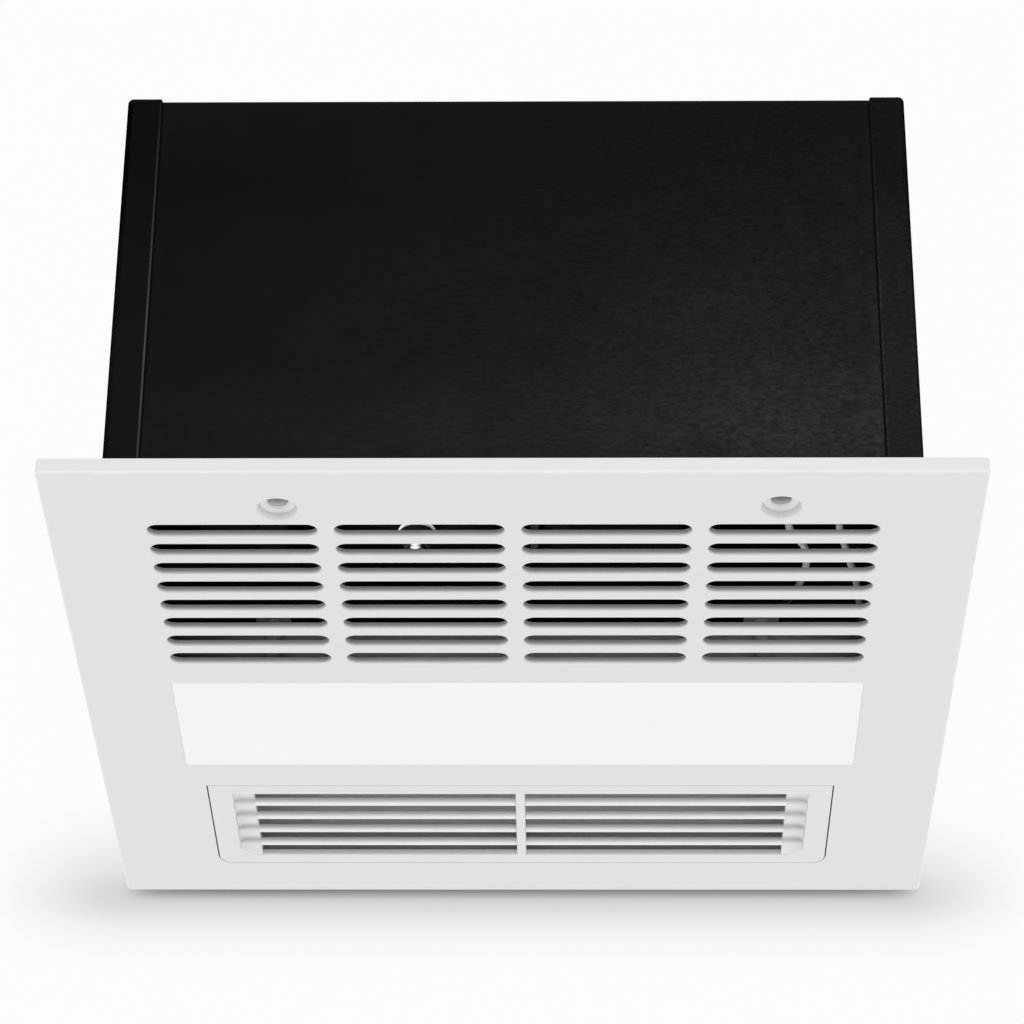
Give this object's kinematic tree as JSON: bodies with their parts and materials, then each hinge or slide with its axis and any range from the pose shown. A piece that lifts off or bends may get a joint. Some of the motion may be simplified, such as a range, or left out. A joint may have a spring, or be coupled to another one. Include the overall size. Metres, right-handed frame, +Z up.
{
  "type": "ceiling mounted fan heater",
  "caption": "Square ceiling fan heater: black steel housing above a white panel with intake slots, a flush opal light window and a tilting outlet louvre.",
  "frame": {"origin": "centre of the front panel on the ceiling plane, which is the plane of the panel's back rim", "axes": "+Z up into the ceiling, +X along the slots and the louvre, -Y towards the side with the intake slots and the panel screws, +Y towards the outlet louvre"},
  "size_m": [0.4, 0.4, 0.2106],
  "materials": {
    "housing_black": "fine wrinkle powder coat, semi-matt black",
    "panel_white": "moulded white, fine satin grain",
    "louvre_white": "moulded white, fine satin grain",
    "lens_opal": "opal diffuser, smooth satin",
    "zinc_screw": "zinc plated",
    "duct_enamel": "light grey heat proof enamel inside, primed outside",
    "casing_black": "black primed sheet steel",
    "steel_black": "turned steel, blackened",
    "tray_steel": "pressed sheet, thin grey primer",
    "aluminium_bare": "bare aluminium",
    "steel_bright": "turned steel",
    "stator_steel": "stacked laminations",
    "copper_winding": "varnished copper wire, taped",
    "brass_tab": "tinned brass",
    "black_plastic": "glass filled black moulding",
    "white_plastic": "plain white moulding",
    "ceramic_white": "unglazed ceramic",
    "pcb_green": "circuit board laminate",
    "pcb_white": "white light board",
    "led_yellow": "light emitter packages",
    "rubber_black": "soft black rubber",
    "foam_grey": "closed cell foam",
    "lead_white": "silicone lead sleeve"
  },
  "bodies": {
    "housing": {"housing_wrap": "housing_black", "end_plate_left": "housing_black", "end_plate_right": "housing_black", "end_plate_rivets": "housing_black", "front_panel": "panel_white", "panel_screws": "zinc_screw", "led_lens": "lens_opal", "led_tray": "tray_steel", "led_board": "pcb_white", "led_chips": "led_yellow", "led_tray_screws": "zinc_screw", "tray_spacers": "tray_steel", "led_driver": "black_plastic", "louvre_well": "white_plastic", "well_screws": "zinc_screw", "outlet_seal": "foam_grey", "louvre_motor": "steel_bright", "louvre_motor_screws": "zinc_screw", "outlet_duct": "duct_enamel", "heater_frame": "black_plastic", "ptc_bars": "aluminium_bare", "ptc_fins": "aluminium_bare", "heater_terminals": "brass_tab", "heater_screws": "zinc_screw", "thermal_cutout": "black_plastic", "thermal_fuse": "ceramic_white", "scroll_casing": "casing_black", "scroll_cover": "casing_black", "scroll_screws": "steel_black", "inlet_ring": "black_plastic", "hanger_standoffs": "steel_bright", "hanger_screws": "zinc_screw", "motor_can": "steel_bright", "motor_bearings": "steel_bright", "stator_core": "stator_steel", "stator_windings": "copper_winding", "motor_grommets": "rubber_black", "motor_screws": "zinc_screw", "run_capacitor": "white_plastic", "junction_box": "casing_black", "junction_cover": "casing_black", "terminal_block": "white_plastic", "cable_bushing": "black_plastic", "earth_screw": "brass_tab", "control_board": "pcb_green", "board_components": "black_plastic", "board_standoffs": "black_plastic", "lead_wires": "lead_white", "fan_leads": "lead_white"},
    "blower": {"blower_wheel": "black_plastic", "wheel_hub": "steel_black", "hub_nut": "steel_bright", "motor_shaft": "steel_bright", "motor_rotor": "stator_steel"},
    "louvre": {"louvre_frame": "louvre_white", "louvre_slats": "louvre_white", "louvre_pivot_pin": "steel_bright", "louvre_drive_shaft": "steel_bright"}
  },
  "joints": [
    {"name": "blower_spin", "type": "hinge", "parent": "housing", "child": "blower", "pos_m": [-0.0455, -0.059, 0.09], "axis": [0, 0, 1], "continuous": true},
    {"name": "louvre_tilt", "type": "hinge", "parent": "housing", "child": "louvre", "pos_m": [0, 0.1265, 0.0045], "axis": [1, 0, 0], "range_deg": [-15, 15]}
  ]
}
